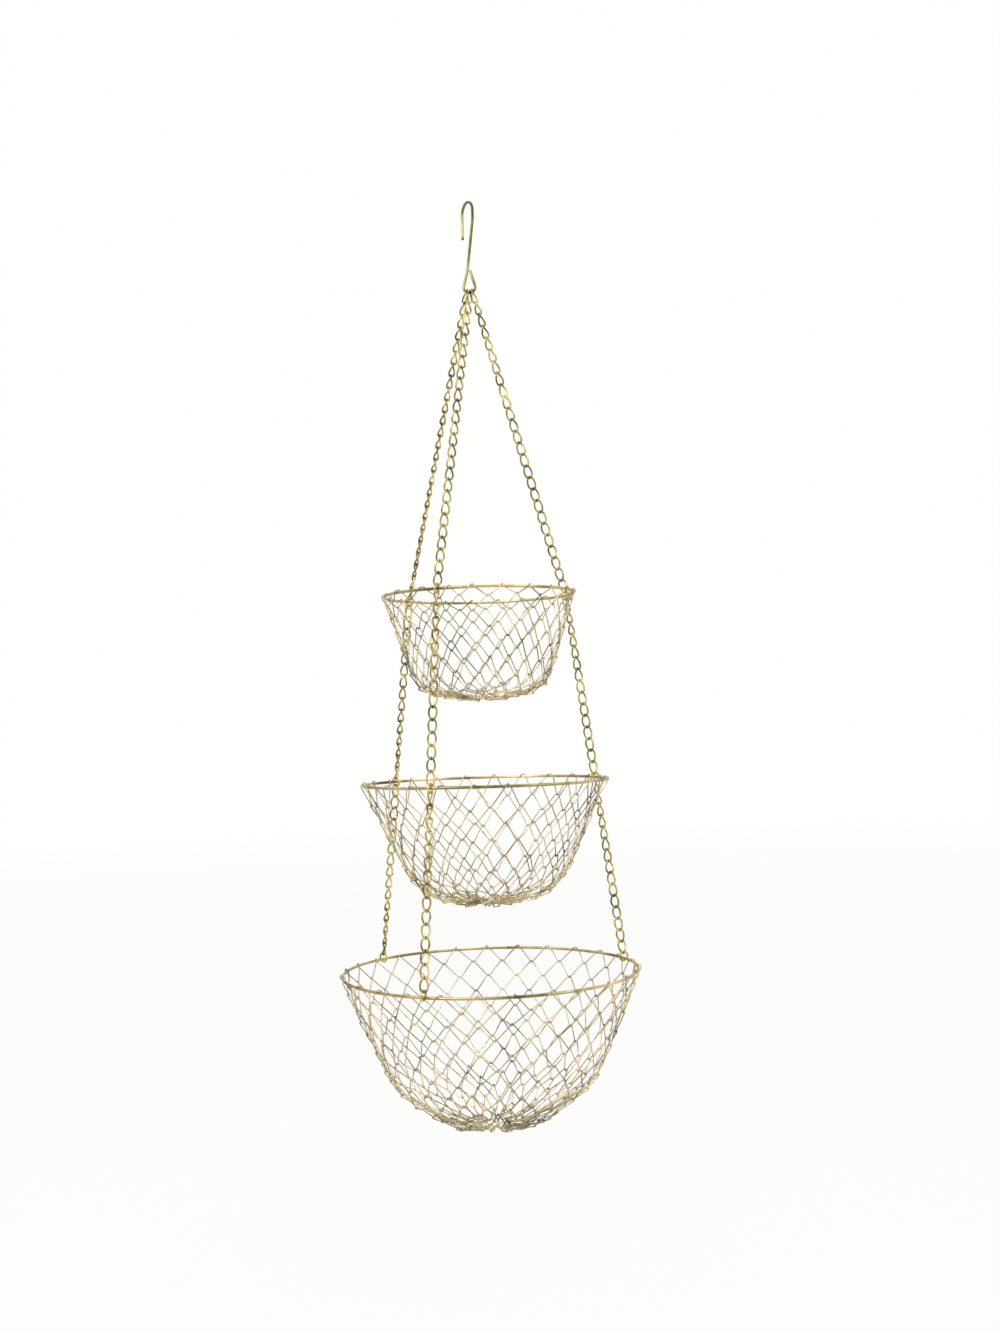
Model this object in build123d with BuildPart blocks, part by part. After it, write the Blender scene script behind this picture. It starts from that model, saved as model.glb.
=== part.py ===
"""Hanging fruit basket in three tiers, all in brass wire.

A ceiling hook carries three curb chains. They hold three wire rims, each with a
collapsible net of linked zigzag rows. Millimetres, +Z up, X to the right and -Y
to the front. The origin is the point where the hook's bight bears on its support.
Azimuths are counted from the front (-Y) towards the right (+X).
"""

from build123d import *
import math
import os

os.makedirs("parts", exist_ok=True)

# Wires
hook_wire = 2.6
link_wire = 1.4
ring_wire = 1.5
rim_wire = 2.8
net_wire = 1.2
hub_wire = 1.8

# Clearances between wires: one that bears on another, and one that passes it
seat_gap = 0.1
pass_gap = 0.3

# Ceiling hook: bight radius on the wire's centre line, straight leg below it,
# and the height from the bight's centre down to the closed eye
bight_r = 10.5
leg_length = 23.5
shank_drop = 54.8
shank_straight = 8.0
shank_bend_r = 30.0
eye_r = 5.4
eye_drop = 15.2
eye_mouth = 2.9
bight_turn = 61.0
facet_turn = 22.5

# Curb chain links: outer length and width, width of the end's straight part,
# the twist between the two ends, and how far the outer two chains stand off in
# the hook's eye and turn there to clear the middle one
link_length = 14.4
link_width = 7.8
link_end = 5.0
link_twist = 90.0
eye_spacing = 2.7
eye_turn = 12.0
upper_links = 26
span_links = 15

# Jump rings that tie the chains to the rims
ring_r = 4.6

# Where the three chains run, and which way each twists between two rims
azimuths = {"front": -24.0, "right": 111.0, "back": -129.0}
eye_seats = {"front": 0, "right": 1, "back": -1}
span_turns = {"front": 1, "right": -1, "back": 1}

# Rims, on the wire's centre line
top_rim_r = 90.0
middle_rim_r = 115.0
bottom_rim_r = 140.0

# Nets: radius and depth at the shoulder where the wall ends, at the heel where
# the base turns flat, and at the hub ring in the middle of the base
top_shoulder_r, top_shoulder_depth = 66.0, 76.0
top_heel_r, top_heel_depth = 52.0, 92.0
top_hub_r, top_depth = 12.0, 100.0
middle_shoulder_r, middle_shoulder_depth = 80.0, 78.0
middle_heel_r, middle_heel_depth = 58.0, 106.0
middle_hub_r, middle_depth = 13.5, 115.0
bottom_shoulder_r, bottom_shoulder_depth = 103.0, 84.0
bottom_heel_r, bottom_heel_depth = 75.0, 120.0
bottom_hub_r, bottom_depth = 15.0, 148.0

# Nets: teeth round each row, and rows in the wall and in the base
top_teeth, top_wall_rows, top_base_rows = 21, 5, 2
middle_teeth, middle_wall_rows, middle_base_rows = 24, 5, 2
bottom_teeth, bottom_wall_rows, bottom_base_rows = 27, 6, 3

# Net wires: how far the arms stand off the net's own surface, and the corners
# of the first row's hooks, as turns up from the outside of the rim
arm_stand = net_wire + pass_gap
apex_half = net_wire / 2
blunt_half = net_wire + pass_gap
bend_share = 0.9
hub_stand = (net_wire + hub_wire) / 2 + pass_gap
wrap_turns = (3.0, 69.0, 135.0)
wrap_asides = (-apex_half, 0, apex_half)
wrap_r = ((rim_wire + net_wire) / 2 + pass_gap) / math.cos(math.radians(wrap_turns[1] - wrap_turns[0]) / 2)

# Sides of the faceted wires, and corners of the faceted rings
hook_sides = 6
rim_sides = 4
ring_sides = 4
thin_sides = 3
ring_corners = 8

# Derived sizes of the chains
link_pitch = link_length - 2 * link_wire - seat_gap
ring_reach = ring_r * math.cos(math.pi / ring_corners)
ring_seat = (link_wire + ring_wire) / 2 + seat_gap
eye_seat = (link_wire + hook_wire) / 2 + seat_gap


def polar(radius, azimuth, height):
    """Point at a radius and an azimuth in degrees, at a height."""
    turn = math.radians(azimuth)
    return Vector(radius * math.sin(turn), -radius * math.cos(turn), height)


def tangent(azimuth):
    """Level direction along a rim, towards a growing azimuth."""
    turn = math.radians(azimuth)
    return Vector(math.cos(turn), math.sin(turn), 0)


def bent_wire(points, outward, wire, sides, closed=True):
    """Wire with flat sides along the points, mitred at each of them.

    The section is carried from run to run without twist. Where a loop closes,
    what is left over is shared out evenly among the runs. outward is the way
    that the first run's first side, or edge, faces.
    """
    count = len(points)
    corner_r = math.pi * wire / (2 * sides * math.sin(math.pi / sides))
    step = 2 * math.pi / sides
    runs = [(points[(i + 1) % count] - points[i]).normalized() for i in range(count)]
    if not closed:
        runs[-1] = runs[-2]
    arms = [(outward - runs[0] * outward.dot(runs[0])).normalized()]
    for i in range(count):
        here, there = runs[i], runs[(i + 1) % count]
        crease = here + there
        arms.append(arms[i] - crease * (arms[i].dot(crease) / (1 + here.dot(there))))
    slip = math.atan2(runs[0].cross(arms[0]).dot(arms[count]), arms[0].dot(arms[count])) if closed else 0
    shift = round(slip / step)
    slip -= shift * step
    rings = []
    for i in range(count):
        side = runs[i].cross(arms[i])
        crease = (runs[i - 1] if i or closed else runs[i]) + runs[i]
        ring = []
        for j in range(sides):
            turn = step * (j + (0 if sides % 2 else 0.5)) - slip * i / count
            arm = (arms[i] * math.cos(turn) + side * math.sin(turn)) * corner_r
            ring.append(points[i] + arm - runs[i] * (arm.dot(crease) / runs[i].dot(crease)))
        rings.append(ring)
    faces = []
    for i in range(count if closed else count - 1):
        here, there = rings[i], rings[(i + 1) % count]
        over = shift if i == count - 1 else 0
        for j in range(sides):
            a, b = here[j], here[(j + 1) % sides]
            d, c = there[(j + over) % sides], there[(j + 1 + over) % sides]
            faces.append(Face(Wire.make_polygon([a, b, c])))
            faces.append(Face(Wire.make_polygon([a, c, d])))
    if not closed:
        faces.append(Face(Wire.make_polygon(rings[0][::-1])))
        faces.append(Face(Wire.make_polygon(rings[-1])))
    return Solid(Shell(faces))


def curb_link():
    """One curb link: a long six-sided loop, each end turned half the twist."""
    half = (link_length - link_wire) / 2
    across = (link_width - link_wire) / 2
    end = link_end / 2
    outline = [(end, half), (-end, half), (-across, 0), (-end, -half), (end, -half), (across, 0)]
    points = []
    for u, v in outline:
        turn = math.radians(link_twist / 2) * v / half
        points.append(Vector(u * math.cos(turn), u * math.sin(turn), v))
    return bent_wire(points, Vector(0, 0, 1), link_wire, thin_sides)


def link_places(start, end, side, first_turn, last_turn, count, start_seat):
    """Places of the links of a tight chain between two wires that carry it.

    start and end are the centres of those two wires, start_seat how far the
    first link's end wire lies beyond the first one.
    """
    up = (start - end).normalized()
    reach = (start - end).length
    half = (link_length - link_wire) / 2
    pitch = (reach + start_seat + ring_seat - 2 * half) / (count - 1)
    frame = Plane(origin=start, x_dir=side - up * side.dot(up), z_dir=up)
    places = []
    for k in range(count):
        drop = half - start_seat + k * pitch
        turn = first_turn + (last_turn - first_turn) * k / (count - 1)
        places.append(frame.location * Location((0, 0, -drop), (0, 0, turn)))
    return places


def nearest_turn(turn, target):
    """The turn that equals target up to half turns and lies nearest to turn."""
    return target + 180.0 * round((turn - target) / 180.0)


def jump_ring(centre, azimuth):
    """Jump ring in the upright plane across a rim."""
    out = polar(1, azimuth, 0)
    points = []
    for k in range(ring_corners):
        turn = 2 * math.pi * (k + 0.5) / ring_corners
        points.append(centre + out * (ring_r * math.cos(turn)) + Vector(0, 0, ring_r * math.sin(turn)))
    return bent_wire(points, points[0] - centre, ring_wire, ring_sides)


def flat_ring(radius, height, first, wire, corners, sides):
    """Level ring of wire about the Z axis, its first corner at an azimuth."""
    points = [polar(radius, first + 360.0 * k / corners, height) for k in range(corners)]
    return bent_wire(points, polar(1, first, 0), wire, sides)


# Heights of the tiers, from the counts of links
bight_z = hook_wire / 2 - bight_r
eye_z = bight_z - shank_drop - eye_drop
eye_low_z = eye_z - eye_r
upper_reach = upper_links * link_pitch + link_wire + seat_gap - eye_seat - ring_seat + ring_reach
span_reach = span_links * link_pitch + link_wire + seat_gap - 2 * ring_seat + 2 * ring_reach
top_rim_z = eye_low_z - math.sqrt(upper_reach**2 - top_rim_r**2)
middle_rim_z = top_rim_z - math.sqrt(span_reach**2 - (middle_rim_r - top_rim_r) ** 2)
bottom_ring_z = middle_rim_z - math.sqrt(span_reach**2 - (bottom_rim_r - middle_rim_r) ** 2)
bottom_rim_z = bottom_ring_z - (ring_reach - (ring_wire + rim_wire) / 2 - pass_gap)


# Ceiling hook: open bight in its own upright plane, long shank, and an eye
# that is bent round in the plane that faces the front
bight_out = Vector(math.cos(math.radians(bight_turn)), -math.sin(math.radians(bight_turn)), 0)
bight_plane = Plane(origin=(0, 0, bight_z), x_dir=bight_out, z_dir=bight_out.cross(Vector(0, 0, 1)))
neck_z = bight_z - shank_drop
neck = Vector(-eye_mouth / 2, 0, neck_z)
eye_centre = Vector(0, 0, eye_z)
neck_span = math.hypot(eye_mouth / 2, eye_drop)
tangent_turn = math.degrees(math.acos(eye_r / neck_span) + math.atan2(eye_mouth / 2, eye_drop))
eye_left = eye_centre + Vector(0, 0, eye_r).rotate(Axis.Y, -tangent_turn)
eye_right = eye_centre + Vector(0, 0, eye_r).rotate(Axis.Y, tangent_turn)
shank_top = Vector(0, 0, bight_z) + bight_out * bight_r
shank_knee = shank_top - Vector(0, 0, shank_straight)
with BuildPart() as ceiling_hook:
    with BuildLine() as hook_path:
        with BuildLine(bight_plane):
            leg = Line((-bight_r, -leg_length), (-bight_r, 0))
            bight = RadiusArc((-bight_r, 0), (bight_r, 0), bight_r)
        FilletPolyline(shank_top, shank_knee, neck, eye_left, radius=shank_bend_r)
        ThreePointArc(eye_left, eye_centre - Vector(0, 0, eye_r), eye_right)
        Line(eye_right, Vector(eye_mouth / 2, 0, neck_z))
    stops = [0.0]
    for edge in hook_path.wire().order_edges():
        turn = 0 if edge.geom_type == GeomType.LINE else edge.length / edge.radius
        steps = max(1, round(math.degrees(turn) / facet_turn))
        start = stops[-1]
        stops += [start + edge.length * (k + 1) / steps for k in range(steps)]
    bends = [hook_path.wire().position_at(stop, position_mode=PositionMode.LENGTH) for stop in stops]
    add(bent_wire(bends, bight_plane.z_dir, hook_wire, hook_sides, closed=False))
ceiling_hook.part.label = "ceiling_hook"
export_step(ceiling_hook.part, "parts/ceiling_hook.step", write_pcurves=False)


# Chains and jump rings
link = curb_link()
rings_z = {"top": top_rim_z, "middle": middle_rim_z, "bottom": bottom_ring_z}
rims_r = {"top": top_rim_r, "middle": middle_rim_r, "bottom": bottom_rim_r}

for name, azimuth in azimuths.items():
    side = tangent(azimuth)

    seat_x = eye_seats[name] * eye_spacing
    eye_point = Vector(seat_x, 0, eye_z - math.sqrt(eye_r**2 - seat_x**2))
    ring_centre = polar(top_rim_r, azimuth, top_rim_z)
    up = (eye_point - ring_centre).normalized()
    across = up.cross(side)
    first = math.degrees(math.atan2(across.Y, side.Y)) - link_twist / 2 + eye_turn * abs(eye_seats[name])
    last = nearest_turn(first, link_twist / 2)
    end = ring_centre + up * ring_reach
    start_seat = eye_seat / math.cos(math.asin(seat_x / eye_r))
    places = link_places(eye_point, end, side, first, last, upper_links, start_seat)
    with BuildPart() as chain:
        with Locations(*places):
            add(link)
    chain.part.label = f"top_chain_{name}"
    export_step(chain.part, f"parts/{chain.part.label}.step", write_pcurves=False)

    for upper, lower in (("top", "middle"), ("middle", "bottom")):
        upper_centre = polar(rims_r[upper], azimuth, rings_z[upper])
        lower_centre = polar(rims_r[lower], azimuth, rings_z[lower])
        up = (upper_centre - lower_centre).normalized()
        first = -link_twist / 2
        last = first + link_twist * span_turns[name]
        start, end = upper_centre - up * ring_reach, lower_centre + up * ring_reach
        places = link_places(start, end, side, first, last, span_links, ring_seat)
        with BuildPart() as chain:
            with Locations(*places):
                add(link)
        chain.part.label = f"{lower}_chain_{name}"
        export_step(chain.part, f"parts/{chain.part.label}.step", write_pcurves=False)

    for tier in rims_r:
        with BuildPart() as ring:
            add(jump_ring(polar(rims_r[tier], azimuth, rings_z[tier]), azimuth))
        ring.part.label = f"{tier}_ring_{name}"
        export_step(ring.part, f"parts/{ring.part.label}.step", write_pcurves=False)


# Rims
rims_z = {"top": top_rim_z, "middle": middle_rim_z, "bottom": bottom_rim_z}
teeth_round = {"top": top_teeth, "middle": middle_teeth, "bottom": bottom_teeth}
for tier, radius in rims_r.items():
    first = azimuths["right"] + 180.0 / teeth_round[tier]
    with BuildPart() as rim:
        add(flat_ring(radius, rims_z[tier], first, rim_wire, 2 * teeth_round[tier], rim_sides))
    rim.part.label = f"{tier}_rim"
    export_step(rim.part, f"parts/{rim.part.label}.step", write_pcurves=False)


def net_rows(outline, teeth, wall_rows):
    """Zigzag rows of one net, from the rim down to the hub ring.

    outline holds the nodes (radius, height) where one row's lower apexes pass
    through the next row's upper ones. Rising arms run outside the net's surface
    and falling arms inside it. The first row's hooks go over the rim, the feet
    of the narrow teeth in the base are blunt, and the last go round the hub ring.
    """
    rows = len(outline) - 1
    chords = [(outline[k + 1] - outline[k]).normalized() for k in range(rows)]
    normals = [Vector(-chord.Z, 0, chord.X) for chord in chords]
    laps, stands = [], []
    for k in range(rows - 1):
        pitch = (outline[k + 1] - outline[k]).length
        lean = math.atan2(math.pi * outline[k + 1].X / teeth, pitch)
        lap = (net_wire + pass_gap) * math.hypot(arm_stand, apex_half) / arm_stand
        if k < wall_rows:
            lap /= math.sin(lean)
        laps.append(lap / 2)
        stands.append(arm_stand + bend_share * lap * chords[k].cross(chords[k + 1]).length)
    solids = []
    for k in range(rows):
        if k:
            crown = outline[k] - chords[k] * laps[k - 1]
            out = (normals[k - 1] + normals[k]).normalized() * stands[k - 1]
            tops = [(crown + out, -apex_half), (crown - out, apex_half)]
        else:
            turns = [math.radians(turn) for turn in wrap_turns]
            corners = [outline[0] + Vector(math.cos(turn), 0, math.sin(turn)) * wrap_r for turn in turns]
            tops = list(zip(corners, wrap_asides))
        if k < wall_rows:
            lows = [(outline[k + 1] + chords[k] * laps[k], 0)]
        elif k < rows - 1:
            foot = outline[k + 1] + chords[k] * laps[k]
            lows = [(foot, -blunt_half), (foot, blunt_half)]
        else:
            foot, out = outline[k + 1] + chords[k] * hub_stand, normals[k] * hub_stand
            lows = [(foot - out, -apex_half), (foot + out, apex_half)]
        points = []
        first = azimuths["right"] + 180.0 * (k + 1) / teeth
        for tooth in range(teeth):
            for spots, turn in ((tops, 0), (lows, 0.5)):
                azimuth = first + 360.0 * (tooth + turn) / teeth
                for spot, aside in spots:
                    points.append(polar(spot.X, azimuth, spot.Z) + tangent(azimuth) * aside)
        solids.append(bent_wire(points, polar(-chords[k].X, first, -chords[k].Z), net_wire, thin_sides))
    return solids


# Nets: rows in the wall and in the base, and the three turns of the outline
rows_down = {
    "top": (top_wall_rows, top_base_rows),
    "middle": (middle_wall_rows, middle_base_rows),
    "bottom": (bottom_wall_rows, bottom_base_rows),
}
outlines = {
    "top": ((top_shoulder_r, top_shoulder_depth), (top_heel_r, top_heel_depth), (top_hub_r, top_depth)),
    "middle": (
        (middle_shoulder_r, middle_shoulder_depth),
        (middle_heel_r, middle_heel_depth),
        (middle_hub_r, middle_depth),
    ),
    "bottom": (
        (bottom_shoulder_r, bottom_shoulder_depth),
        (bottom_heel_r, bottom_heel_depth),
        (bottom_hub_r, bottom_depth),
    ),
}
for tier, (wall_rows, base_rows) in rows_down.items():
    rim_r, rim_z, teeth = rims_r[tier], rims_z[tier], teeth_round[tier]
    shoulder, heel, hub = [(radius, rim_z - depth) for radius, depth in outlines[tier]]
    with BuildLine(Plane.XZ):
        wall = Line((rim_r, rim_z), shoulder)
        base = Spline(shoulder, heel, hub, tangents=[(shoulder[0] - rim_r, shoulder[1] - rim_z), (-1, 0)])
    nodes = [wall.position_at(k / wall_rows) for k in range(wall_rows)]
    nodes += [base.position_at(k / base_rows) for k in range(base_rows + 1)]
    solids = net_rows(nodes, teeth, wall_rows)
    for k in range(wall_rows):
        with BuildPart() as row:
            add(solids[k])
        row.part.label = f"{tier}_net_row_{k + 1}"
        export_step(row.part, f"parts/{row.part.label}.step", write_pcurves=False)
    with BuildPart() as base_net:
        add(solids[wall_rows:])
        add(flat_ring(hub[0], hub[1], azimuths["right"], hub_wire, teeth, thin_sides))
    base_net.part.label = f"{tier}_net_base"
    export_step(base_net.part, f"parts/{base_net.part.label}.step", write_pcurves=False)
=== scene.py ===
"""Looks of the hanging fruit basket: round brass wires in place of the frame's faceted ones.

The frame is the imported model's, in metres: origin where the hook bears on its
support, +Z up, -Y to the front. The wires are worked out in millimetres, and
piece() turns them into metres. Azimuths are in degrees, 0 at the front and 90
at the right. Depths are below the middle of a basket's rim.
"""

import math

import bpy
import numpy as np
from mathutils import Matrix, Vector


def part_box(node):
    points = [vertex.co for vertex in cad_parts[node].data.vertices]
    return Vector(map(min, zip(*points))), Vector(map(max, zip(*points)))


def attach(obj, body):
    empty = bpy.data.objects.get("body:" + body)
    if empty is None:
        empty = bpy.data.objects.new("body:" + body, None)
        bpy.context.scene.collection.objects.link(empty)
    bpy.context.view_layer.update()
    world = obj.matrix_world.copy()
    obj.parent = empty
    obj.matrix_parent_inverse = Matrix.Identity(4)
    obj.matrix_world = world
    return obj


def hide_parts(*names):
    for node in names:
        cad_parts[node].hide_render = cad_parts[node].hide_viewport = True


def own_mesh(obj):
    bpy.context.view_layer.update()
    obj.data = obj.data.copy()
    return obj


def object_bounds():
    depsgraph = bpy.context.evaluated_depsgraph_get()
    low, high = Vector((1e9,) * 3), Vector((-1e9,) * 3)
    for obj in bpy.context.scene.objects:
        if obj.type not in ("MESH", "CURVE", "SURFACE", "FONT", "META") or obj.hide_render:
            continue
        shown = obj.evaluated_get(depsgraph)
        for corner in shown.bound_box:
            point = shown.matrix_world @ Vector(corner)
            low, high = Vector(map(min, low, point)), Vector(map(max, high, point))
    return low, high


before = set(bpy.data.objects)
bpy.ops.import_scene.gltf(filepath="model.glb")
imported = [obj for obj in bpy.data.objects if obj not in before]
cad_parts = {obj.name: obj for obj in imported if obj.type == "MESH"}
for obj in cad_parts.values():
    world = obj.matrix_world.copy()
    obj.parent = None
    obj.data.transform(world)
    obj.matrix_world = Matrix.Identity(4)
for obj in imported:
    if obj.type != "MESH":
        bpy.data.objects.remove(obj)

cad_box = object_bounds()

MM = 0.001
UP = np.array([0.0, 0.0, 1.0])
TIERS = ("top", "middle", "bottom")
CHAINS = {"front": -24.0, "right": 111.0, "back": -129.0}

# Wires: thickness, sides of their sections, and the gap where one passes another
HOOK_WIRE, LINK_WIRE, END_WIRE, RING_WIRE = 2.6, 1.7, 1.4, 1.7
RIM_WIRE, NET_WIRE, HUB_WIRE = 2.8, 1.07, 1.6
HOOK_SIDES, LINK_SIDES, RING_SIDES = 16, 8, 10
RIM_SIDES, NET_SIDES, HUB_SIDES = 12, 7, 10
PASS_GAP = 0.3

# Hook: the bight with its leg, the shank below its other side, and the eye at the shank's foot.
# The shank starts a little below the bight, and points nearer than the shortest run are left out.
BIGHT_R, BIGHT_TURN, BIGHT_STEPS = 10.5, 61.0, 28
LEG, LEG_STEPS = 21.0, 6
SHANK_DROP, SHANK_STRAIGHT, SHANK_START = 54.8, 8.0, 1.0
SHANK_BEND_R, SHANK_BEND_STEPS = 30.0, 12
EYE_R, EYE_DROP, EYE_STEPS = 5.4, 15.2, 30
EYE_MOUTH, MOUTH_LEAN = 2.9, 0.2
SHORTEST_RUN = 0.2

# Chain links: half their length and width, the turn of one end against the other, and the powers
# that shape sides and tips. The first link of a chain is smaller, and squarer across.
LINK_POINTS, LINK_TWIST, TIP_POWER = 36, 90.0, 0.92
LINK_HALF, LINK_ACROSS, LINK_POWER = 6.65, 3.55, 0.8
END_HALF, END_ACROSS, END_POWER = 6.5, 3.0, 0.4

# Chains: how far their ends reach past the middle of the wire that they hang on, the places and
# turns of the first links on the eye, and the links in an upper chain and between two rims
CHAIN_SEAT, HOOK_SEAT = 1.55, 2.1
EYE_SEATS = {"front": 0, "right": 1, "back": -1}
EYE_SPACING, EYE_TURN = 2.7, 12.0
UPPER_LINKS, SPAN_LINKS = 26, 15
SPAN_TURNS = {"front": 1, "right": -1, "back": 1}

# Jump rings: round ones, whose radius is a share of that of the frame's cornered ones. Half of
# the slit is in degrees.
RING_R, RING_CORNERS, RING_SHARE = 4.6, 8, 0.96
RING_REACH = RING_R * math.cos(math.pi / RING_CORNERS)
RING_POINTS, SLIT_HALF = 40, 2.2

# Rims: radius, points, how many of each wave go round, the range of the waves' sizes, and how much
# of a size is used
RIM_R = {"top": 90.0, "middle": 115.0, "bottom": 140.0}
RIM_POINTS, RIM_WAVES = 160, (2, 3, 5, 8)
RIM_WAVE_SIZES, RIM_WAVE_SHARE = (0.1, 0.3), 0.5

# Nets: teeth, azimuth of a low point of the first row, depths of the wall's rows, rows in the
# base, travel of the base as it folds up, then radius and depth at the shoulder, heel and hub
NETS = {
    "top": (
        21, 5.3, (7.0, 20.5, 34.5, 48.5, 62.5, 76.0), 5, 55.0,
        ((66.0, 76.0), (53.0, 90.0), (12.0, 97.5)),
    ),
    "middle": (
        24, 3.2, (19.5, 34.0, 48.5, 63.5, 78.0), 6, 57.0,
        ((80.0, 78.0), (59.0, 103.0), (13.5, 113.0)),
    ),
    "bottom": (
        27, 2.0, (13.5, 27.0, 41.0, 56.0, 71.0, 84.0), 8, 63.0,
        ((105.5, 84.0), (79.0, 118.0), (15.0, 146.0)),
    ),
}
# Steps of each half of a base's curve, and points round a hub
CURVE_STEPS, HUB_POINTS = 40, 36

# Rows of a net: distance of an arm and of an apex from the net's surface, the most that a wall's
# rows lap, what a kink of the outline adds to the arms' distance, the half width of a base's low
# points as a share of the pitch, and the bends at the corners
ARM_STAND, APEX_HALF = NET_WIRE + PASS_GAP, NET_WIRE / 2
WALL_LAP_MAX, KINK_SHARE, BLUNT_SHARE = 2.4, 0.9, 0.3
NET_BEND_R, NET_BEND_STEPS = 1.1, 3

# Corkscrew of the first row round the rim: its gap, and its corners by their turns in degrees, up
# from the outside, each a millimetre further aside
WRAP_GAP, WRAP_START, WRAP_STEP, WRAP_CORNERS = 0.4, -28.0, 36.0, 7

# Unevenness of a net: slow and quick waves, each with ranges for how many go round, for the
# millimetres of depth to a radian, and for the size. Then their sizes around, outwards and up. They
# grow from the rim down to the full depth, and inside the inner radius they turn no further than
# there. The base's sag is how far the quick waves outwards also go up, from one share of the net's
# depth on and fully after another.
PHASES, WAVES_A_WAY = (0, 6.28), 3
SLOW_WAVES = ((2, 7), (20, 60), (0.5, 1.0))
QUICK_WAVES = ((9, 16), (12, 24), (0.4, 1.0))
SLOW_SIZES, QUICK_SIZES = (0.9, 0.8, 0.6), (0.35, 0.3, 0.3)
SAG_SIZE, SAG_START, SAG_RUN = 1.3, 0.72, 0.2
FULL_DEPTH, INNER_R = 14.0, 25.0

# Looseness of the apexes in the wall and in the base, and its share outwards
WALL_PLAY, BASE_PLAY, PLAY_OUTWARDS = 0.6, 1.9, 0.5

# Dodge of a short first row at the chains: the depth where it ends and the run before that, how
# far round it slides and dents, and the size of the dent inwards and down
DODGE_END, DODGE_RUN = 18.0, 9.0
SLIDE_REACH, DENT_REACH = 24.0, 8.0
DENT_IN, DENT_DOWN = 2.2, 1.2

# Seeds of each tier: its rim's waves, its net's waves and its net's looseness
SEEDS = {"top": (11, 31, 61), "middle": (12, 32, 62), "bottom": (13, 33, 63)}


# ---------------------------------------------------------------- meshes

# Rings of a domed end by their turns from its base, tip first
DOME_TURNS = np.radians([80, 55, 30])
# A tube that starts this near to upright takes another first normal
NEAR_UPRIGHT = 0.2
# Bends: the smallest tangent of half a corner, and the most that they take of a run
SHARPEST, RUN_SHARE = 1e-3, 0.46


def unit(v):
    v = np.asarray(v, float)
    return v / np.linalg.norm(v, axis=-1, keepdims=True)


def polar(radius, azimuth, height):
    a = math.radians(azimuth)
    return np.array([radius * math.sin(a), -radius * math.cos(a), height])


def tangent(azimuth):
    a = math.radians(azimuth)
    return np.array([math.cos(a), math.sin(a), 0.0])


def clamp(x):
    return min(1.0, max(0.0, x))


def arc(centre, a, b, sweep, steps):
    """Points of an arc about a centre from the arm a, towards b, in degrees."""
    turns = np.radians(np.linspace(0, sweep, steps + 1))
    return [centre + a * math.cos(t) + b * math.sin(t) for t in turns]


def rounded(corners, bend_r, steps, closed=True):
    """Corners of a bent wire turned into short arcs of about bend_r."""
    c = [np.asarray(p, float) for p in corners]
    n = len(c)
    out = []
    for i in range(n):
        if not closed and i in (0, n - 1):
            out.append(c[i])
            continue
        here = c[i]
        back, ahead = c[i - 1] - here, c[(i + 1) % n] - here
        lb, la = np.linalg.norm(back), np.linalg.norm(ahead)
        back, ahead = back / lb, ahead / la
        half = math.acos(max(-1.0, min(1.0, float(back @ ahead)))) / 2
        cut = min(bend_r / max(math.tan(half), SHARPEST), RUN_SHARE * lb, RUN_SHARE * la)
        a, b = here + back * cut, here + ahead * cut
        for k in range(steps + 1):
            t = k / steps
            out.append(a * (1 - t) ** 2 + here * 2 * t * (1 - t) + b * t**2)
    return np.array(out)


def tube(points, wire, sides, closed=True, domed=False):
    """Vertices and faces of a round wire along the points, in their unit."""
    p = np.asarray(points, float)
    swell = np.ones(len(p))
    if domed:
        first, last = unit(p[0] - p[1]), unit(p[-1] - p[-2])
        head = [p[0] + first * wire / 2 * math.sin(t) for t in DOME_TURNS]
        tail = [p[-1] + last * wire / 2 * math.sin(t) for t in DOME_TURNS[::-1]]
        p = np.vstack([head, p, tail])
        swell = np.r_[np.cos(DOME_TURNS), swell, np.cos(DOME_TURNS[::-1])]
    n = len(p)
    if closed:
        t = unit(np.roll(p, -1, 0) - np.roll(p, 1, 0))
    else:
        t = unit(np.vstack([p[1:2] - p[:1], p[2:] - p[:-2], p[-1:] - p[-2:-1]]))
    start = np.cross(t[0], UP)
    if np.linalg.norm(start) < NEAR_UPRIGHT:
        start = np.cross(t[0], [1.0, 0.0, 0.0])
    # Each normal is the last one with as little turning as the path allows
    normals = [unit(start)]
    for i in range(1, n + 1):
        d = t[i % n]
        a = normals[-1] - d * (normals[-1] @ d)
        normals.append(a / np.linalg.norm(a))
    # A closed tube spreads what is left of that turning over its length
    slip = 0.0
    if closed:
        side = np.cross(t[0], normals[0])
        slip = math.atan2(float(normals[n] @ side), float(normals[n] @ normals[0]))
    nrm = np.array(normals[:n])
    side = np.cross(t, nrm)
    turn = np.arange(sides) * 2 * math.pi / sides
    ang = turn[None, :] - slip * (np.arange(n) / n)[:, None]
    ring = nrm[:, None, :] * np.cos(ang)[..., None] + side[:, None, :] * np.sin(ang)[..., None]
    verts = (p[:, None, :] + ring * (wire / 2 * swell)[:, None, None]).reshape(-1, 3)
    faces = []
    for i in range(n if closed else n - 1):
        a, b = i * sides, ((i + 1) % n) * sides
        for j in range(sides):
            k = (j + 1) % sides
            faces.append((a + j, a + k, b + k, b + j))
    if not closed:
        faces.append(tuple(range(sides))[::-1])
        faces.append(tuple((n - 1) * sides + j for j in range(sides)))
    return verts, faces


def put(name, data):
    """A new object in the scene."""
    obj = bpy.data.objects.new(name, data)
    bpy.context.scene.collection.objects.link(obj)
    return obj


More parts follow.
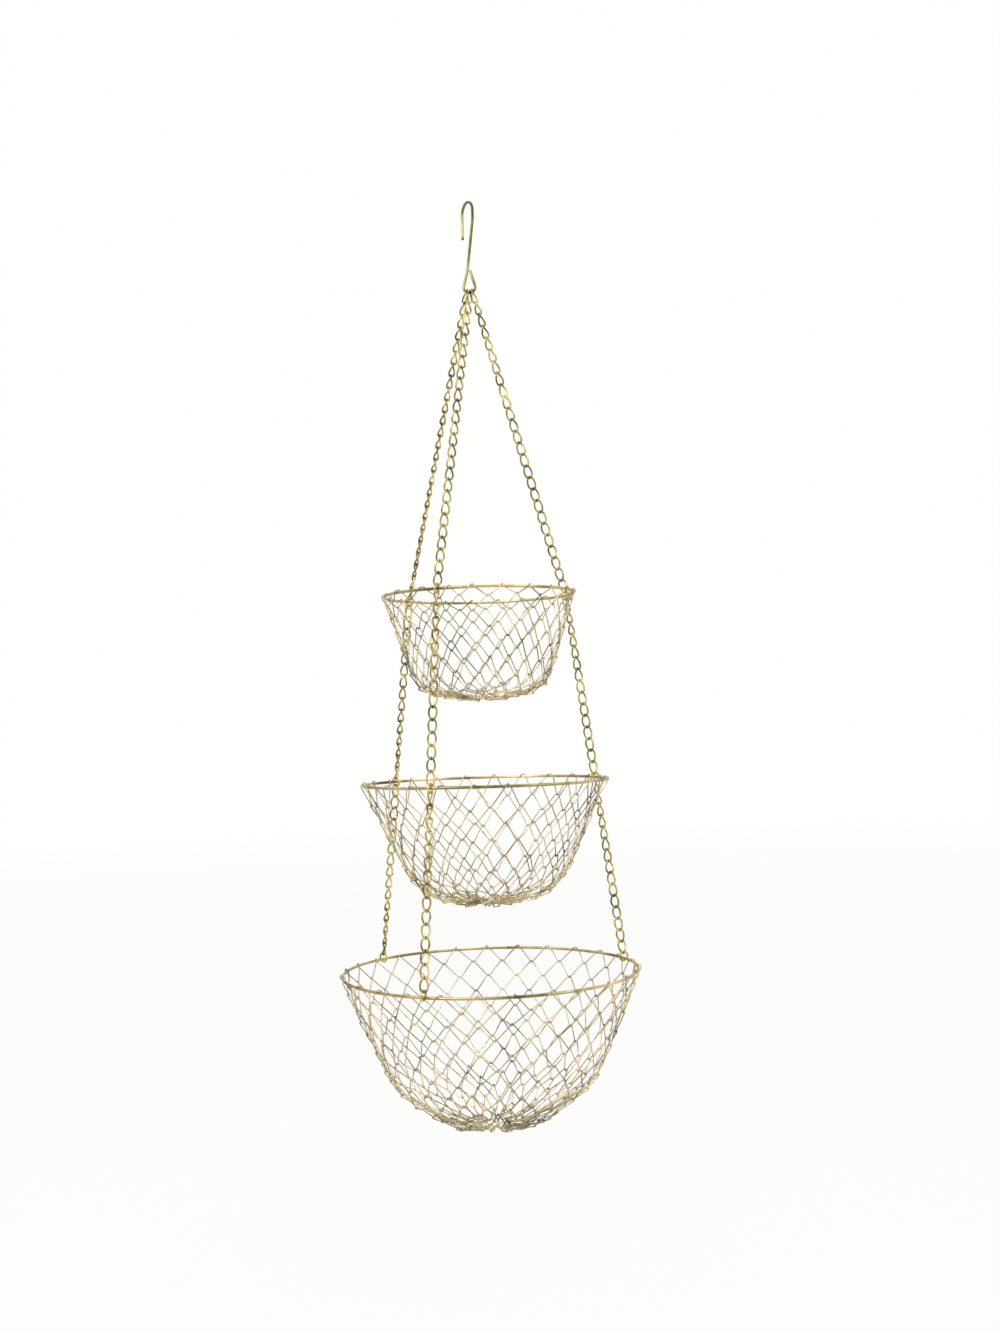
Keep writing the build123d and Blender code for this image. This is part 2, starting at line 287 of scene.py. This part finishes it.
def piece(name, parts, material, body, node):
    """One mesh object from several tubes in millimetres, riding on a body in a node's place."""
    verts, faces, base = [], [], 0
    for v, f in parts:
        verts.append(v)
        faces += [tuple(i + base for i in face) for face in f]
        base += len(v)
    mesh = bpy.data.meshes.new(name)
    mesh.from_pydata((np.vstack(verts) * MM).tolist(), [], faces)
    # Smooth along the wires, flat on their cut ends
    mesh.polygons.foreach_set("use_smooth", [len(f) == 4 for f in faces])
    mesh.update()
    obj = put(name, mesh)
    obj.data.materials.append(material)
    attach(obj, body)
    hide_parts(node)
    return obj


# ---------------------------------------------------------------- materials

# Sockets of a Mix node that mixes colours
MIX_SHARE, MIX_FIRST, MIX_SECOND, MIX_RESULT = 0, 6, 7, 2

# Patches of tone: where on their noise the dark, middle and light tone are
DARK_AT, MID_AT, LIGHT_AT, PATCH_DETAIL = 0.30, 0.47, 0.68, 3.0
# Dark spots: how much finer than the patches, the noise where they start and are full, their
# share there, and their tone as a share of the dark one
SPOTS_TO_PATCH, SPOT_DETAIL = 6, 4.0
SPOT_RANGE, SPOT_SHARE, SPOT_TONE = (0.56, 0.74), 0.7, (0.55, 0.55, 0.5)
# Dark places, mostly painted shade and a painted dark reflection: colour, share in the core, and
# the core's share of the radius
BLACK, BLACK_SHARE, BLACK_CORE = (0.035, 0.032, 0.022), 0.85, 0.45
# Roughness between and on the spots, against the mean, and the drawing marks' depth in metres
SMOOTHER, ROUGHER = 0.07, 0.13
MARK_DETAIL, MARK_STRENGTH, MARK_DEPTH = 2.0, 0.25, 0.0001

# Dark places of the hook, centre and radius in metres: a painted dark reflection on the right
# side of the bight, the cut tip, which is made darker, and painted shade on the floor of the eye
BIGHT_DARK_REFLECTION = ((0.0048, -0.0086, -0.008), 0.014)
CUT_TIP = ((-0.0051, 0.0092, -0.032), 0.0045)
EYE_FLOOR_SHADE = ((0.0, 0.0, -0.0845), 0.006)


def noise(tree, coord, scale, detail):
    """Noise in the object's own coordinates."""
    node = tree.nodes.new("ShaderNodeTexNoise")
    node.inputs["Scale"].default_value = scale
    node.inputs["Detail"].default_value = detail
    tree.links.new(coord.outputs["Object"], node.inputs["Vector"])
    return node.outputs["Fac"]


def map_range(tree, value, start, end):
    """A node that maps a value from one range to another and holds it at the ends."""
    node = tree.nodes.new("ShaderNodeMapRange")
    for label, number in zip(("From Min", "From Max", "To Min", "To Max"), (*start, *end)):
        node.inputs[label].default_value = number
    tree.links.new(value, node.inputs["Value"])
    return node


def towards(tree, share, colour, target):
    """A colour mixed towards a fixed one."""
    node = tree.nodes.new("ShaderNodeMix")
    node.data_type = "RGBA"
    node.inputs[MIX_SECOND].default_value = (*target, 1)
    tree.links.new(share, node.inputs[MIX_SHARE])
    tree.links.new(colour, node.inputs[MIX_FIRST])
    return node.outputs[MIX_RESULT]


def combine(tree, operation, first, second):
    """A Math node's result for a socket and a second socket or number."""
    node = tree.nodes.new("ShaderNodeMath")
    node.operation = operation
    tree.links.new(first, node.inputs[0])
    if isinstance(second, float):
        node.inputs[1].default_value = second
    else:
        tree.links.new(second, node.inputs[1])
    return node.outputs[0]


def mix_shaders(tree, share, first, second):
    """Two shaders mixed by the second one's share."""
    node = tree.nodes.new("ShaderNodeMixShader")
    tree.links.new(share, node.inputs["Fac"])
    tree.links.new(first, node.inputs[1])
    tree.links.new(second, node.inputs[2])
    return node.outputs[0]


def brass(name, light, mid, dark, rough, patch, grain, dark_places=()):
    """Drawn brass wire: patches of tone, dark spots, dark places (on the hook painted shade and a
    painted dark reflection) and fine drawing marks.
    """
    m = bpy.data.materials.new(name)
    m.use_nodes = True
    tree = m.node_tree
    nodes, links = tree.nodes, tree.links
    bsdf = nodes["Principled BSDF"]
    bsdf.inputs["Metallic"].default_value = 1.0
    coord = nodes.new("ShaderNodeTexCoord")
    patches = noise(tree, coord, patch, PATCH_DETAIL)
    ramp = nodes.new("ShaderNodeValToRGB")
    stops = ramp.color_ramp.elements
    stops[0].position, stops[0].color = DARK_AT, (*dark, 1)
    stops[1].position, stops[1].color = LIGHT_AT, (*light, 1)
    stops.new(MID_AT).color = (*mid, 1)
    links.new(patches, ramp.inputs["Fac"])
    spots = noise(tree, coord, patch * SPOTS_TO_PATCH, SPOT_DETAIL)
    spot_share = map_range(tree, spots, SPOT_RANGE, (0.0, SPOT_SHARE))
    spot_tone = [tone * share for tone, share in zip(dark, SPOT_TONE)]
    colour = towards(tree, spot_share.outputs["Result"], ramp.outputs["Color"], spot_tone)
    # Dark places, darkest in their cores: on the hook painted shade, a painted dark reflection and
    # a darker cut tip
    for centre, radius in dark_places:
        away = nodes.new("ShaderNodeVectorMath")
        away.operation = "DISTANCE"
        away.inputs[1].default_value = centre
        links.new(coord.outputs["Object"], away.inputs[0])
        core = (radius * BLACK_CORE, radius)
        share = map_range(tree, away.outputs["Value"], core, (BLACK_SHARE, 0.0))
        share.interpolation_type = "SMOOTHSTEP"
        colour = towards(tree, share.outputs["Result"], colour, BLACK)
    links.new(colour, bsdf.inputs["Base Color"])
    gloss = map_range(tree, spots, (0.0, 1.0), (rough - SMOOTHER, rough + ROUGHER))
    links.new(gloss.outputs["Result"], bsdf.inputs["Roughness"])
    marks = noise(tree, coord, grain, MARK_DETAIL)
    bump = nodes.new("ShaderNodeBump")
    bump.inputs["Strength"].default_value = MARK_STRENGTH
    bump.inputs["Distance"].default_value = MARK_DEPTH
    links.new(marks, bump.inputs["Height"])
    links.new(bump.outputs["Normal"], bsdf.inputs["Normal"])
    return m


# Light, middle and dark tone, mean roughness, then the scales of the patches and drawing marks
hook_brass = brass(
    "hook_brass", (0.50, 0.48, 0.23), (0.24, 0.23, 0.075), (0.06, 0.055, 0.02), 0.26, 26, 2500,
    # The hook's painted dark reflection on the bight, its darker cut tip, and painted shade on the
    # floor of the eye
    (BIGHT_DARK_REFLECTION, CUT_TIP, EYE_FLOOR_SHADE),
)
chain_brass = brass(
    "chain_brass", (0.74, 0.61, 0.22), (0.33, 0.27, 0.075), (0.08, 0.066, 0.02), 0.26, 75, 3500,
)
ring_brass = brass(
    "ring_brass", (0.86, 0.74, 0.20), (0.56, 0.47, 0.085), (0.20, 0.16, 0.03), 0.22, 75, 3500,
)
rim_brass = brass(
    "rim_brass", (0.94, 0.72, 0.42), (0.50, 0.40, 0.18), (0.10, 0.084, 0.04), 0.24, 13, 2500,
)
net_brass = brass(
    "net_brass", (0.88, 0.75, 0.48), (0.48, 0.41, 0.23), (0.12, 0.104, 0.06), 0.32, 34, 4000,
)


# ---------------------------------------------------------------- hook

bight_z = HOOK_WIRE / 2 - BIGHT_R
eye_z = bight_z - SHANK_DROP - EYE_DROP
out = np.array([math.cos(math.radians(BIGHT_TURN)), -math.sin(math.radians(BIGHT_TURN)), 0.0])
bight = np.array([0.0, 0.0, bight_z])
eye = np.array([0.0, 0.0, eye_z])
neck = np.array([-EYE_MOUTH / 2, 0.0, bight_z - SHANK_DROP])
mouth = np.array([EYE_MOUTH / 2 - MOUTH_LEAN, 0.0, bight_z - SHANK_DROP])

# The eye's wire leaves the shank and comes back to its mouth at tangents
span = math.hypot(EYE_MOUTH / 2, EYE_DROP)
open_turn = math.acos(EYE_R / span) + math.atan2(EYE_MOUTH / 2, EYE_DROP)
left_arm = np.array([-math.sin(open_turn), 0.0, math.cos(open_turn)]) * EYE_R
down_arm = np.array([-math.cos(open_turn), 0.0, -math.sin(open_turn)]) * EYE_R

leg_top, shank_top = bight - out * BIGHT_R, bight + out * BIGHT_R
knee = shank_top - UP * SHANK_STRAIGHT
shank_corners = [shank_top - UP * SHANK_START, knee, neck, eye + left_arm]
path = [leg_top - UP * LEG * (1 - k / LEG_STEPS) for k in range(LEG_STEPS)]
path += arc(bight, -out * BIGHT_R, UP * BIGHT_R, 180, BIGHT_STEPS)
path += list(rounded(shank_corners, SHANK_BEND_R, SHANK_BEND_STEPS, closed=False)[:-1])
path += arc(eye, left_arm, down_arm, 360 - 2 * math.degrees(open_turn), EYE_STEPS)
path = np.array([*path, mouth])
run = np.linalg.norm(np.diff(path, axis=0), axis=1)
path = path[np.r_[True, run > SHORTEST_RUN]]
wire = tube(path, HOOK_WIRE, HOOK_SIDES, closed=False, domed=True)
piece("ceiling_hook_wire", [wire], hook_brass, "hook", "ceiling_hook")


# ---------------------------------------------------------------- chains and rings

def height_of(node):
    """Height of the middle of a node of the frame, in millimetres."""
    low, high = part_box(node)
    return np.array((low + high) / 2)[2] / MM


rim_z = {t: height_of(f"{t}_rim") for t in TIERS}
ring_z = {t: height_of(f"{t}_ring_front") for t in TIERS}


def link_path(half, across, power):
    """One curb link as an oval whose two ends are turned against each other."""
    points = []
    for k in range(LINK_POINTS):
        a = 2 * math.pi * k / LINK_POINTS
        c, s = math.cos(a), math.sin(a)
        u = across * math.copysign(abs(c) ** power, c)
        v = half * math.copysign(abs(s) ** TIP_POWER, s)
        turn = math.radians(LINK_TWIST / 2) * v / half
        points.append([u * math.cos(turn), u * math.sin(turn), v])
    return np.array(points)


LINK = tube(link_path(LINK_HALF, LINK_ACROSS, LINK_POWER), LINK_WIRE, LINK_SIDES)
END_LINK = tube(link_path(END_HALF, END_ACROSS, END_POWER), END_WIRE, LINK_SIDES)


def chain_parts(start, end, side, first_turn, last_turn, count, start_seat):
    """The links of a chain, each turned a little more about its line, from first to last."""
    up_dir = unit(start - end)
    reach = np.linalg.norm(start - end)
    pitch = (reach + start_seat + CHAIN_SEAT - 2 * END_HALF) / (count - 1)
    x = unit(side - up_dir * (side @ up_dir))
    y = np.cross(up_dir, x)
    parts = []
    for k in range(count):
        turn = math.radians(first_turn + (last_turn - first_turn) * k / (count - 1))
        u = x * math.cos(turn) + y * math.sin(turn)
        w = y * math.cos(turn) - x * math.sin(turn)
        centre = start - up_dir * (END_HALF - start_seat + k * pitch)
        v, faces = LINK if k else END_LINK
        parts.append((centre + v[:, :1] * u + v[:, 1:2] * w + v[:, 2:] * up_dir, faces))
    return parts


for name, azimuth in CHAINS.items():
    side = tangent(azimuth)

    # From the eye, where the three first links sit side by side, to the top rim
    seat_x = EYE_SEATS[name] * EYE_SPACING
    eye_point = np.array([seat_x, 0.0, eye_z - math.sqrt(EYE_R**2 - seat_x**2)])
    ring_centre = polar(RIM_R["top"], azimuth, ring_z["top"])
    up_dir = unit(eye_point - ring_centre)
    across = np.cross(up_dir, side)
    first = math.degrees(math.atan2(across[1], side[1])) - LINK_TWIST / 2
    first += EYE_TURN * abs(EYE_SEATS[name])
    last = LINK_TWIST / 2 + 180.0 * round((first - LINK_TWIST / 2) / 180.0)
    start_seat = HOOK_SEAT / math.cos(math.asin(seat_x / EYE_R))
    ring_top = ring_centre + up_dir * RING_REACH
    parts = chain_parts(eye_point, ring_top, side, first, last, UPPER_LINKS, start_seat)
    piece(f"upper_chain_{name}", parts, chain_brass, "top_basket", f"top_chain_{name}")

    # From the foot of a ring to the top of the one below it
    for upper, lower in (("top", "middle"), ("middle", "bottom")):
        a = polar(RIM_R[upper], azimuth, ring_z[upper])
        b = polar(RIM_R[lower], azimuth, ring_z[lower])
        up_dir = unit(a - b)
        a, b = a - up_dir * RING_REACH, b + up_dir * RING_REACH
        first = -LINK_TWIST / 2
        last = first + LINK_TWIST * SPAN_TURNS[name]
        parts = chain_parts(a, b, side, first, last, SPAN_LINKS, CHAIN_SEAT)
        node = f"{lower}_chain_{name}"
        piece(f"{lower}_span_chain_{name}", parts, chain_brass, node, node)

    # Split rings, with the slit at the bottom
    turns = np.radians(np.linspace(-90 + SLIT_HALF, 270 - SLIT_HALF, RING_POINTS))
    radial = polar(1, azimuth, 0)
    for tier in TIERS:
        centre = polar(RIM_R[tier], azimuth, ring_z[tier])
        points = [
            centre + radial * RING_R * RING_SHARE * math.cos(t)
            + UP * RING_R * RING_SHARE * math.sin(t)
            for t in turns
        ]
        ring = tube(points, RING_WIRE, RING_SIDES, closed=False)
        piece(f"{tier}_jump_ring_{name}", [ring], ring_brass,
              f"{tier}_basket", f"{tier}_ring_{name}")


# ---------------------------------------------------------------- rims

for tier in TIERS:
    rng = np.random.default_rng(SEEDS[tier][0])
    waves = [(h, rng.uniform(0, 2 * math.pi), rng.uniform(*RIM_WAVE_SIZES)) for h in RIM_WAVES]
    points = []
    for k in range(RIM_POINTS):
        az = 360.0 * k / RIM_POINTS
        a = math.radians(az)
        dz = sum(s * RIM_WAVE_SHARE * math.sin(a * h + f) for h, f, s in waves)
        dr = sum(s * RIM_WAVE_SHARE * math.cos(a * (h + 1) + f) for h, f, s in waves)
        points.append(polar(RIM_R[tier] + dr, az, rim_z[tier] + dz))
    wire = tube(points, RIM_WIRE, RIM_SIDES)
    piece(f"{tier}_rim_wire", [wire], rim_brass, f"{tier}_basket", f"{tier}_rim")


# ---------------------------------------------------------------- nets

def outline_nodes(tier):
    """Nodes (radius, height) down the wall and through the base, where the rows link."""
    _, _, depths, base_rows, _, (shoulder, heel, hub) = NETS[tier]
    z0 = rim_z[tier]
    rim = np.array([RIM_R[tier], z0])
    s, h, c = (np.array([r, z0 - d]) for r, d in (shoulder, heel, hub))
    nodes = [rim + (s - rim) * d / shoulder[1] for d in (0.0, *depths[:-1])]

    # The base is one smooth curve, on in the wall's direction and in to the hub, level there
    t0, t1, t2 = unit(s - rim), unit(c - s), np.array([-1.0, 0.0])
    dense = []
    for a, b, ta, tb in ((s, h, t0, t1), (h, c, t1, t2)):
        reach = np.linalg.norm(b - a)
        for k in range(CURVE_STEPS):
            t = k / CURVE_STEPS
            dense.append((2 * t**3 - 3 * t**2 + 1) * a + (t**3 - 2 * t**2 + t) * ta * reach
                         + (-2 * t**3 + 3 * t**2) * b + (t**3 - t**2) * tb * reach)
    dense = np.array(dense + [c])
    run = np.r_[0, np.cumsum(np.linalg.norm(np.diff(dense, axis=0), axis=1))]
    for k in range(base_rows + 1):
        at = run[-1] * k / base_rows
        nodes.append(np.array([np.interp(at, run, dense[:, i]) for i in (0, 1)]))
    return nodes


def draw_waves(rng, counts, depths, sizes):
    """Random waves, three a way: how many go round, phase, millimetres to a radian and size."""
    return [
        (int(rng.integers(*counts)), rng.uniform(*PHASES),
         rng.uniform(*depths), rng.uniform(*sizes))
        for _ in range(3 * WAVES_A_WAY)
    ]


def falling(off, reach):
    """From 1 at the middle smoothly to 0 at the reach."""
    return math.cos(math.pi / 2 * min(1.0, off / reach)) ** 2


def warp(tier, depth_full):
    """Slow unevenness of a net: the same push for wires that are near each other."""
    rng = np.random.default_rng(SEEDS[tier][1])
    slow, quick = draw_waves(rng, *SLOW_WAVES), draw_waves(rng, *QUICK_WAVES)
    z0 = rim_z[tier]
    # A first row as short as the top net's gives way to the rings and links: its nearest low
    # points slide under the chains and dent inwards
    teeth, low_azimuth, depths = NETS[tier][:3]
    pitch = 360.0 / teeth
    dodges = []
    if depths[0] < 2 * RING_R:
        for chain in CHAINS.values():
            low = low_azimuth + pitch * round((chain - low_azimuth) / pitch)
            dodges.append((low, chain - low))

    def push(p):
        az = math.atan2(p[0], -p[1])
        r = math.hypot(p[0], p[1])
        down = z0 - p[2]
        slide = dent = 0.0
        for low, aside in dodges:
            off = abs((math.degrees(az) - low + 180.0) % 360.0 - 180.0)
            shallow = clamp((DODGE_END - down) / DODGE_RUN)
            slide += math.radians(aside) * shallow * falling(off, SLIDE_REACH)
            dent += shallow * falling(off, DENT_REACH)
        grow = clamp(down / FULL_DEPTH)
        deep = clamp((down - SAG_START * depth_full) / (SAG_RUN * depth_full))
        s = [amp * math.sin(h * az + f + down / w) for h, f, w, amp in slow]
        q = [amp * math.sin(h * az + f + down / w) for h, f, w, amp in quick]
        ways = [slice(k * WAVES_A_WAY, (k + 1) * WAVES_A_WAY) for k in range(3)]
        d_az, d_r, d_z = (
            (sum(s[way]) * slow_size + sum(q[way]) * quick_size) * grow
            for way, slow_size, quick_size in zip(ways, SLOW_SIZES, QUICK_SIZES)
        )
        d_z += sum(q[ways[1]]) * SAG_SIZE * deep
        a2 = az + d_az / max(r, INNER_R) + slide
        r2 = r + d_r - DENT_IN * dent
        return np.array([r2 * math.sin(a2), -r2 * math.cos(a2), p[2] + d_z - DENT_DOWN * dent])

    return push


def net_rows(tier, nodes, push):
    """Smooth paths of the zigzag rows of one net, each linked through the one above."""
    teeth, low_azimuth, depths = NETS[tier][:3]
    wall_rows, rows = len(depths), len(nodes) - 1
    rng = np.random.default_rng(SEEDS[tier][2])
    loose = rng.uniform(-1, 1, (rows + 1, teeth, 3))
    plays = [0.0] + [WALL_PLAY] * (wall_rows - 1) + [BASE_PLAY] * (rows - wall_rows) + [0.0]
    chords = [unit(nodes[k + 1] - nodes[k]) for k in range(rows)]
    normals = [np.array([-c[1], c[0]]) for c in chords]

    # At each node: how far the two rows' apexes pass it, and how far the lower one's arms stand off
    laps, stands = [], []
    for k in range(rows - 1):
        pitch = np.linalg.norm(nodes[k + 1] - nodes[k])
        lean = math.atan2(math.pi * nodes[k + 1][0] / teeth, pitch)
        lap = math.hypot(ARM_STAND, APEX_HALF)
        if k < wall_rows:
            lap = min(lap / math.sin(lean), WALL_LAP_MAX)
        laps.append(lap / 2)
        kink = abs(chords[k][0] * chords[k + 1][1] - chords[k][1] * chords[k + 1][0])
        stands.append(ARM_STAND + KINK_SHARE * lap * kink)

    # Corners of each row's crowns and low points: place in the outline's plane, and aside
    wrap_r = (RIM_WIRE + NET_WIRE) / 2 + WRAP_GAP
    paths = []
    for k in range(rows):
        if k:
            crown = nodes[k] - chords[k] * laps[k - 1]
            o = unit(normals[k - 1] + normals[k]) * stands[k - 1]
            tops = [(crown + o, -APEX_HALF), (crown - o, APEX_HALF)]
        else:
            tops = []
            for i in range(WRAP_CORNERS):
                a = math.radians(WRAP_START + WRAP_STEP * i)
                arm = np.array([math.cos(a), math.sin(a)]) * wrap_r
                arm = arm / math.cos(math.radians(WRAP_STEP / 2))
                tops.append((nodes[0] + arm, i - WRAP_CORNERS // 2))
        if k < wall_rows:
            lows = [(nodes[k + 1] + chords[k] * laps[k], 0.0)]
        elif k < rows - 1:
            foot = nodes[k + 1] + chords[k] * laps[k]
            blunt = min(ARM_STAND, BLUNT_SHARE * 2 * math.pi * nodes[k + 1][0] / teeth)
            lows = [(foot, -blunt), (foot, blunt)]
        else:
            stand = (NET_WIRE + HUB_WIRE) / 2 + PASS_GAP
            foot, o = nodes[k + 1] + chords[k] * stand, normals[k] * stand
            lows = [(foot - o, -APEX_HALF), (foot + o, APEX_HALF)]
        corners = []
        first = low_azimuth + 180.0 * (k + 1) / teeth
        for tooth in range(teeth):
            for spots, turn, edge in ((tops, 0.0, k), (lows, 0.5, k + 1)):
                azimuth = first + 360.0 * (tooth + turn) / teeth
                play = loose[edge][tooth] * plays[edge]
                for spot, aside in spots:
                    at = push(polar(spot[0], azimuth, spot[1]) + tangent(azimuth) * aside)
                    corners.append(at + tangent(azimuth) * play[0]
                                   + polar(play[1] * PLAY_OUTWARDS, azimuth, play[2]))
        paths.append(rounded(corners, NET_BEND_R, NET_BEND_STEPS))
    return paths


for tier in TIERS:
    _, _, depths, base_rows, travel, outline = NETS[tier]
    nodes = outline_nodes(tier)
    push = warp(tier, outline[2][1])
    wires = [tube(path, NET_WIRE, NET_SIDES) for path in net_rows(tier, nodes, push)]
    rows = [[k] for k in range(len(depths))]
    if tier == "top":
        # One row more than the solids have, so the first two stand for one
        rows = [[0, 1]] + rows[2:]
    for k, together in enumerate(rows):
        row = piece(f"{tier}_net_wall_{k + 1}", [wires[i] for i in together], net_brass,
                    f"{tier}_basket", f"{tier}_net_row_{k + 1}")
        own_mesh(row)
    hub_r, hub_depth = outline[2]
    hub_turns = [360.0 * k / HUB_POINTS for k in range(HUB_POINTS)]
    hub = [push(polar(hub_r, turn, rim_z[tier] - hub_depth)) for turn in hub_turns]
    parts = wires[len(depths):] + [tube(hub, HUB_WIRE, HUB_SIDES)]
    piece(f"{tier}_net_floor", parts, net_brass, f"{tier}_base", f"{tier}_net_base")


# ---------------------------------------------------------------- floor, light, camera

# Floor: radius, step of its edge in degrees, gap below the basket, tone, and how much of the
# background's white the camera and the metal see on it. It is all white at the end of its fade,
# in metres from the origin.
FLOOR_R, FLOOR_STEP, FLOOR_GAP = 14, 5, 0.06
FLOOR_TONE, FLOOR_SEEN, FLOOR_MIRRORED, FLOOR_FADE = 0.85, 0.9, 0.25, (1.2, 5.0)

# World: near white to the camera, plain light on the object, and in the metal a room that is
# brighter above than below
NEAR_WHITE = (1.0, 0.997, 0.985, 1)
PLAIN_COLOUR, PLAIN_STRENGTH = (0.95, 0.97, 1.0, 1), 0.55
ROOM_COLOUR, ROOM_HEIGHTS, ROOM_STRENGTHS = (1.0, 0.985, 0.95, 1), (-0.35, 0.45), (0.25, 1.0)

# Lamps: place, target, width and height, watts, colour
LAMPS = {
    "key": ((-1.3, -1.5, 0.6), (0, 0, -0.45), (1.2, 1.6), 22, (1.0, 0.97, 0.92)),
    "fill": ((1.5, -1.2, -0.1), (0, 0, -0.5), (1.0, 1.4), 9, (0.96, 0.98, 1.0)),
    "top": ((0.2, 0.6, 1.1), (0, 0, -0.5), (1.4, 1.0), 10, (1.0, 1.0, 1.0)),
}

# Camera: level, a little rolled, its frame moved up rather than tilted. Focal length and horizon
# are in pixels of the photo, whose height the sensor's longer side spans.
CAM_X, CAM_Z, CAM_BACK = 0.01625, -0.49321, 1.39536
FOCAL_PX, HORIZON_PX, ROLL_DEG = 1468.08, 722.0, 1.772
PHOTO_H, SENSOR = 1333, 36.0


def pale(name):
    """Pale matt surface: near white to the camera, darker in the metal, with its shadows kept."""
    m = bpy.data.materials.new(name)
    m.use_nodes = True
    tree = m.node_tree
    nodes, links = tree.nodes, tree.links
    nodes.remove(nodes["Principled BSDF"])
    matt = nodes.new("ShaderNodeBsdfDiffuse")
    matt.inputs["Color"].default_value = (FLOOR_TONE, FLOOR_TONE, FLOOR_TONE, 1)
    light = nodes.new("ShaderNodeEmission")
    light.inputs["Color"].default_value = NEAR_WHITE
    rays = nodes.new("ShaderNodeLightPath")
    coord = nodes.new("ShaderNodeTexCoord")
    away = nodes.new("ShaderNodeVectorMath")
    away.operation = "LENGTH"
    links.new(coord.outputs["Object"], away.inputs[0])
    fade = map_range(tree, away.outputs["Value"], FLOOR_FADE, (FLOOR_SEEN, 1.0))
    seen = combine(tree, "MULTIPLY", rays.outputs["Is Camera Ray"], fade.outputs["Result"])
    mirrored = combine(tree, "MULTIPLY", rays.outputs["Is Glossy Ray"], FLOOR_MIRRORED)
    most = combine(tree, "MAXIMUM", seen, mirrored)
    surface = mix_shaders(tree, most, matt.outputs[0], light.outputs[0])
    links.new(surface, nodes["Material Output"].inputs["Surface"])
    return m


# Round floor that fades into the white of the world
floor_z = cad_box[0].z - FLOOR_GAP
edge_turns = np.radians(np.arange(0, 360, FLOOR_STEP))
edge = [(FLOOR_R * math.cos(t), FLOOR_R * math.sin(t), floor_z) for t in edge_turns]
mesh = bpy.data.meshes.new("floor")
mesh.from_pydata(edge, [], [tuple(range(len(edge)))])
floor = put("floor", mesh)
floor.data.materials.append(pale("floor_white"))

world = bpy.data.worlds.new("studio")
bpy.context.scene.world = world
world.use_nodes = True
tree = world.node_tree
nodes, links = tree.nodes, tree.links
plain = nodes["Background"]
plain.inputs["Color"].default_value = PLAIN_COLOUR
plain.inputs["Strength"].default_value = PLAIN_STRENGTH
white = nodes.new("ShaderNodeBackground")
white.inputs["Color"].default_value = NEAR_WHITE
room = nodes.new("ShaderNodeBackground")
room.inputs["Color"].default_value = ROOM_COLOUR
where = nodes.new("ShaderNodeTexCoord")
split = nodes.new("ShaderNodeSeparateXYZ")
links.new(where.outputs["Generated"], split.inputs[0])
strength = map_range(tree, split.outputs["Z"], ROOM_HEIGHTS, ROOM_STRENGTHS)
links.new(strength.outputs["Result"], room.inputs["Strength"])
rays = nodes.new("ShaderNodeLightPath")
seen = combine(tree, "MAXIMUM", rays.outputs["Is Camera Ray"], rays.outputs["Is Transmission Ray"])
lit = mix_shaders(tree, rays.outputs["Is Glossy Ray"], plain.outputs[0], room.outputs[0])
surface = mix_shaders(tree, seen, lit, white.outputs[0])
links.new(surface, nodes["World Output"].inputs["Surface"])

for name, (place, target, size, power, colour) in LAMPS.items():
    data = bpy.data.lights.new(name, "AREA")
    data.shape = "RECTANGLE"
    data.size, data.size_y = size
    data.energy = power
    data.color = colour
    lamp = put(name, data)
    lamp.location = place
    lamp.rotation_mode = "QUATERNION"
    lamp.rotation_quaternion = (Vector(target) - Vector(place)).to_track_quat("-Z", "Y")

cam_data = bpy.data.cameras.new("camera")
cam_data.sensor_width = SENSOR
cam_data.lens = FOCAL_PX / PHOTO_H * SENSOR
cam_data.shift_y = (HORIZON_PX - PHOTO_H / 2) / PHOTO_H
camera = put("camera", cam_data)
camera.location = (CAM_X, -CAM_BACK, CAM_Z)
camera.rotation_euler = (math.radians(90), math.radians(ROLL_DEG), 0)
bpy.context.scene.camera = camera
bpy.context.scene.view_settings.view_transform = "Standard"
